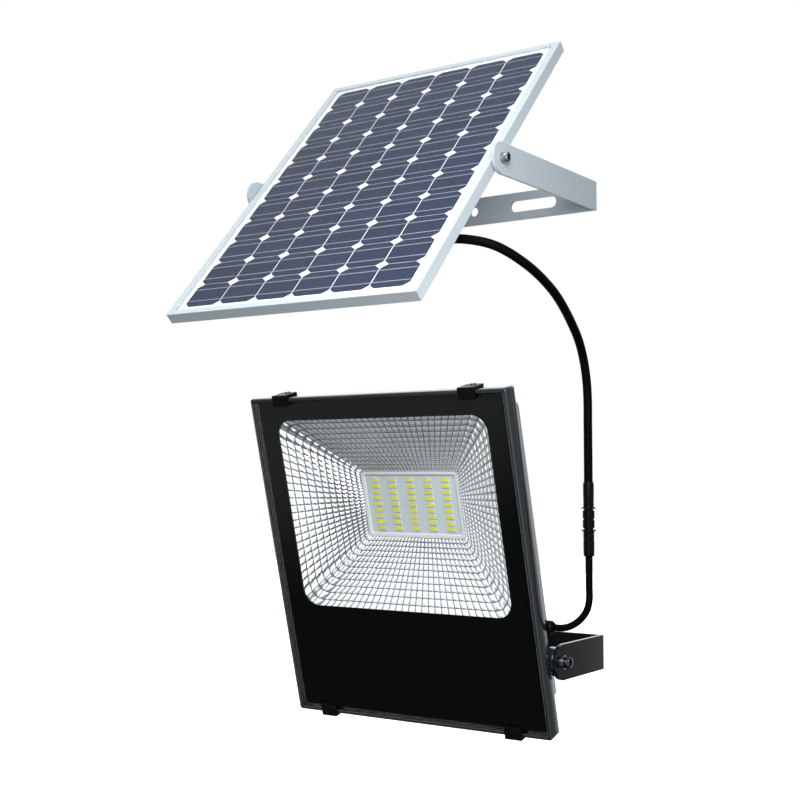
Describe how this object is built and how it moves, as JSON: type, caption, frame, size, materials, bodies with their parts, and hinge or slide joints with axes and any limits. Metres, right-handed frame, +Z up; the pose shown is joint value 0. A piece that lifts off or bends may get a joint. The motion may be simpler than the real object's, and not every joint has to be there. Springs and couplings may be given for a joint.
{
  "type": "solar flood light",
  "caption": "Framed solar panel and LED flood lamp, each tilting on its own wall bracket, joined by a lead with an in-line connector.",
  "frame": {"origin": "centre of the lamp bracket's middle hole, on the bracket's back face, where it meets the wall", "axes": "+X along the wall to the viewer's right, +Y into the wall, +Z up; the lamp and the panel face -Y"},
  "size_m": [0.2356, 0.2167, 0.4508],
  "materials": {
    "dark_bracket_paint": "satin dark grey powder coat",
    "silver_bracket_paint": "satin silver grey powder coat",
    "dark_casting": "fine satin dark grey on cast aluminium",
    "black_rubber": "matte",
    "clear_glass": "polished",
    "black_print": "fired black print behind the glass",
    "silvered_plastic": "vacuum metallised facets",
    "white_plastic": "satin",
    "bare_aluminium": "satin",
    "led_phosphor": "soft yellow phosphor",
    "stainless_steel": "turned",
    "black_plastic": "fine moulded grain",
    "battery_sleeve": "shrink sleeve",
    "nickel_strip": "satin",
    "green_board": "solder mask",
    "wire_insulation": "smooth",
    "anodised_frame": "satin anodised",
    "solar_silicon": "blue antireflection coating",
    "white_sheet": "satin",
    "green_plastic": "moulded",
    "black_jacket": "satin extruded jacket"
  },
  "bodies": {
    "wall_brackets": {"lamp_bracket": "dark_bracket_paint", "panel_bracket": "silver_bracket_paint", "connector_plug": "black_plastic", "connector_socket": "black_plastic", "upper_lead": "black_jacket", "lower_lead": "black_jacket"},
    "panel": {"rail_left": "anodised_frame", "rail_right": "anodised_frame", "rail_top": "anodised_frame", "rail_bottom": "anodised_frame", "panel_cover": "clear_glass", "cell_ribbons": "nickel_strip", "solar_cells": "solar_silicon", "back_sheet": "white_sheet", "junction_box": "black_plastic", "junction_lid": "black_plastic", "junction_lid_screws": "stainless_steel", "junction_gland": "black_plastic", "terminal_block": "green_plastic", "panel_pivot_screws": "stainless_steel", "panel_inner_washers": "stainless_steel"},
    "lamp": {"lamp_housing": "dark_casting", "glass_gasket": "black_rubber", "front_glass": "clear_glass", "glass_print": "black_print", "reflector": "silvered_plastic", "led_frame": "white_plastic", "led_board": "bare_aluminium", "led_chips": "led_phosphor", "led_board_screws": "stainless_steel", "clip_top_left": "black_plastic", "clip_top_right": "black_plastic", "clip_bottom_left": "black_plastic", "clip_bottom_right": "black_plastic", "clip_screws": "stainless_steel", "battery_tray": "black_plastic", "battery_cells": "battery_sleeve", "battery_strips": "nickel_strip", "controller_board": "green_board", "controller_parts": "black_plastic", "controller_screws": "stainless_steel", "lamp_wires": "wire_insulation", "gland_lead": "black_jacket", "gland_body": "black_plastic", "gland_nut": "black_plastic", "lamp_pivot_screws": "stainless_steel", "lamp_outer_washers": "stainless_steel", "lamp_inner_washers": "black_plastic"},
    "coupling_nut": {"connector_nut": "black_plastic"}
  },
  "joints": [
    {"name": "panel_tilt", "type": "hinge", "parent": "wall_brackets", "child": "panel", "pos_m": [0.005, -0.1288, 0.306], "axis": [1, 0, 0], "range_deg": [-45, 40], "deforming": ["upper_lead"]},
    {"name": "lamp_tilt", "type": "hinge", "parent": "wall_brackets", "child": "lamp", "pos_m": [0, -0.0584, 0], "axis": [1, 0, 0], "range_deg": [-28, 75], "deforming": ["lower_lead"]},
    {"name": "connector_nut_turn", "type": "hinge", "parent": "wall_brackets", "child": "coupling_nut", "pos_m": [0.12, -0.0555, 0.0896], "axis": [0, 0, 1], "range_deg": [0, 540]}
  ]
}
